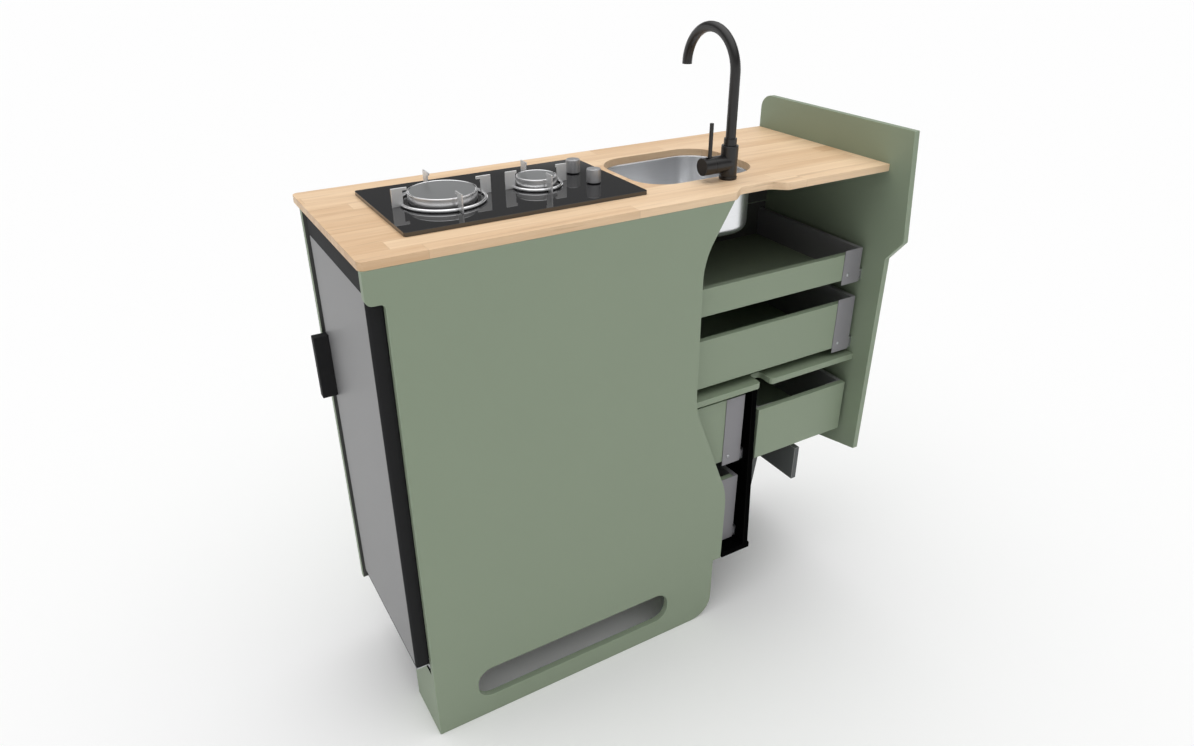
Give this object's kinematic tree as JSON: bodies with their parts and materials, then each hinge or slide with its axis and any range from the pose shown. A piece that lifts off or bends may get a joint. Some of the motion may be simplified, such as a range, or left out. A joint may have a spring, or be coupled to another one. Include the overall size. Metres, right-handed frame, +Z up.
{
  "type": "campervan kitchen pod",
  "caption": "Campervan kitchen unit with a wooden worktop, gas hob, undermount sink, swivel tap, end-opening fridge and pull-out drawers, shaped round a door step and a wheel arch.",
  "frame": {"origin": "middle of the four floor bolts, on the underside of the base panel, at the van floor", "axes": "+X along the pod towards the fridge end, +Y towards the rear face with the vent, +Z up"},
  "size_m": [1.247, 0.522, 1.4425],
  "materials": {
    "sage_board": "satin paint on plywood",
    "black_board": "matt black film on plywood",
    "grey_board": "dark grey film on plywood",
    "oak_block": "oiled oak strips glued into a board",
    "drawer_steel": "grey powder coat",
    "rail_steel": "zinc plated",
    "black_glass": "polished black glass",
    "tray_steel": "black enamel",
    "burner_alloy": "satin",
    "cap_steel": "satin grey with a polished edge",
    "support_steel": "satin wings on a polished ring",
    "knob_steel": "satin grey",
    "sink_steel": "satin brushed",
    "gas_brass": "drawn",
    "waste_plastic": "moulded",
    "tap_black": "matt black",
    "fridge_shell": "dark grey powder coat",
    "shelf_glass": "clear toughened glass",
    "compressor_black": "black lacquer",
    "door_edge": "moulded black",
    "door_grey": "satin grey sheet",
    "gasket_rubber": "soft",
    "liner_white": "moulded white",
    "rack_plastic": "moulded, pale"
  },
  "bodies": {
    "carcass": {"worktop": "oak_block", "back_panel": "sage_board", "skirt_returns": "sage_board", "front_panel": "sage_board", "end_panel": "sage_board", "fridge_divider": "sage_board", "drawer_shelf": "sage_board", "drawer_divider": "black_board", "arch_leg": "grey_board", "base_panel": "black_board", "runner_rails": "rail_steel", "large_burner": "burner_alloy", "small_burner": "burner_alloy", "hob_glass": "black_glass", "hob_tray": "tray_steel", "gas_inlet": "gas_brass", "sink_bowl": "sink_steel", "sink_waste": "waste_plastic", "tap_body": "tap_black", "fridge_cabinet": "fridge_shell", "fridge_liner": "liner_white", "fridge_shelves": "shelf_glass", "fridge_compressor": "compressor_black", "door_hinges": "rail_steel"},
    "fridge_door": {"door_frame": "door_edge", "door_panel": "door_grey", "door_gasket": "gasket_rubber", "door_liner": "liner_white", "door_racks": "rack_plastic", "door_handle": "door_edge"},
    "top_drawer": {"top_drawer_front": "sage_board", "top_drawer_back": "sage_board", "top_drawer_base": "sage_board", "top_drawer_sides": "drawer_steel"},
    "middle_drawer": {"middle_drawer_front": "sage_board", "middle_drawer_back": "sage_board", "middle_drawer_base": "sage_board", "middle_drawer_sides": "drawer_steel"},
    "narrow_upper_drawer": {"narrow_upper_drawer_front": "sage_board", "narrow_upper_drawer_back": "sage_board", "narrow_upper_drawer_base": "sage_board", "narrow_upper_drawer_sides": "drawer_steel"},
    "narrow_lower_drawer": {"narrow_lower_drawer_front": "sage_board", "narrow_lower_drawer_back": "sage_board", "narrow_lower_drawer_base": "sage_board", "narrow_lower_drawer_sides": "drawer_steel"},
    "arch_drawer": {"arch_drawer_front": "sage_board", "arch_drawer_back": "sage_board", "arch_drawer_base": "sage_board", "arch_drawer_sides": "drawer_steel"},
    "large_cap": {"large_burner_cap": "cap_steel"},
    "small_cap": {"small_burner_cap": "cap_steel"},
    "large_support": {"large_pan_support": "support_steel"},
    "small_support": {"small_pan_support": "support_steel"},
    "front_knob": {"hob_knob_front": "knob_steel"},
    "rear_knob": {"hob_knob_rear": "knob_steel"},
    "strainer": {"sink_strainer": "sink_steel"},
    "spout": {"tap_spout": "tap_black"},
    "mixer_hub": {"tap_lever_hub": "tap_black"},
    "mixer_lever": {"tap_lever": "tap_black"}
  },
  "joints": [
    {"name": "fridge_door_hinge", "type": "hinge", "parent": "carcass", "child": "fridge_door", "pos_m": [0.5875, 0.18, 0.4], "axis": [0, 0, 1], "range_deg": [0, 95]},
    {"name": "top_drawer_slide", "type": "slide", "parent": "carcass", "child": "top_drawer", "axis": [0, -1, 0], "range_m": [0, 0.3]},
    {"name": "middle_drawer_slide", "type": "slide", "parent": "carcass", "child": "middle_drawer", "axis": [0, -1, 0], "range_m": [0, 0.3]},
    {"name": "narrow_upper_drawer_slide", "type": "slide", "parent": "carcass", "child": "narrow_upper_drawer", "axis": [0, -1, 0], "range_m": [0, 0.3]},
    {"name": "narrow_lower_drawer_slide", "type": "slide", "parent": "carcass", "child": "narrow_lower_drawer", "axis": [0, -1, 0], "range_m": [0, 0.3]},
    {"name": "arch_drawer_slide", "type": "slide", "parent": "carcass", "child": "arch_drawer", "axis": [0, -1, 0], "range_m": [0, 0.3]},
    {"name": "front_knob_turn", "type": "hinge", "parent": "carcass", "child": "front_knob", "pos_m": [0.055, -0.0675, 0.98], "axis": [0, 0, 1], "range_deg": [0, 180]},
    {"name": "rear_knob_turn", "type": "hinge", "parent": "carcass", "child": "rear_knob", "pos_m": [0.055, 0.0195, 0.98], "axis": [0, 0, 1], "range_deg": [0, 180]},
    {"name": "large_cap_lift", "type": "slide", "parent": "carcass", "child": "large_cap", "axis": [0, 0, 1], "range_m": [0, 0.04]},
    {"name": "small_cap_lift", "type": "slide", "parent": "carcass", "child": "small_cap", "axis": [0, 0, 1], "range_m": [0, 0.04]},
    {"name": "large_support_lift", "type": "slide", "parent": "carcass", "child": "large_support", "axis": [0, 0, 1], "range_m": [0, 0.06]},
    {"name": "small_support_lift", "type": "slide", "parent": "carcass", "child": "small_support", "axis": [0, 0, 1], "range_m": [0, 0.06]},
    {"name": "strainer_lift", "type": "slide", "parent": "carcass", "child": "strainer", "axis": [0, 0, 1], "range_m": [0, 0.08]},
    {"name": "spout_swivel", "type": "hinge", "parent": "carcass", "child": "spout", "pos_m": [-0.2195, 0.112, 1.03], "axis": [0, 0, 1], "range_deg": [-70, 70]},
    {"name": "mixer_turn", "type": "hinge", "parent": "carcass", "child": "mixer_hub", "pos_m": [-0.1685, 0.112, 0.996], "axis": [1, 0, 0], "range_deg": [-35, 35]},
    {"name": "mixer_open", "type": "hinge", "parent": "mixer_hub", "child": "mixer_lever", "pos_m": [-0.1685, 0.112, 0.996], "axis": [0, 1, 0], "range_deg": [0, 20]}
  ]
}
